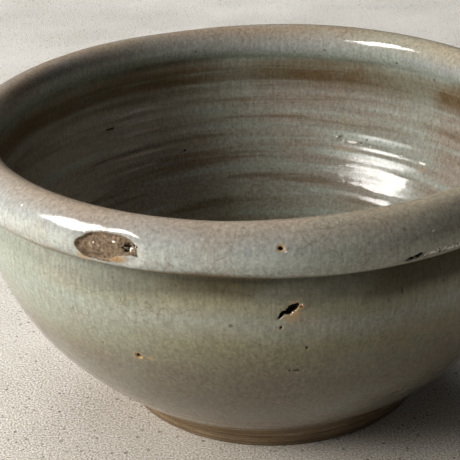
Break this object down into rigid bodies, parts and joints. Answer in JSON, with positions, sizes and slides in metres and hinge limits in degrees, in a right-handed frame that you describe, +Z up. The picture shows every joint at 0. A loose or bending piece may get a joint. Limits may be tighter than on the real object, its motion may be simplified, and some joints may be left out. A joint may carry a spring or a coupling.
{
  "type": "ceramic crock fermenter",
  "caption": "Wide round glazed stoneware basin with a thick rolled rim, a full belly drawn in under the rim, and a narrow unglazed foot.",
  "frame": {"origin": "centre of the foot, on the surface that the pot stands on", "axes": "+Z up along the axis the pot was turned about; X and Y are level"},
  "size_m": [0.4, 0.4, 0.198],
  "materials": {
    "wall_glaze": "semi-gloss grey-green celadon glaze with fine crackle and iron speckle",
    "rim_glaze": "semi-gloss grey-green glaze, thinner and browner along the edges",
    "base_glaze": "thin grey-brown glaze, worn",
    "bare_clay": "matt bare stoneware clay, toasted brown"
  },
  "bodies": {
    "root": {"foot_ring": "bare_clay", "base_dish": "base_glaze", "lower_wall": "wall_glaze", "upper_wall": "wall_glaze", "rolled_rim": "rim_glaze"}
  },
  "joints": []
}
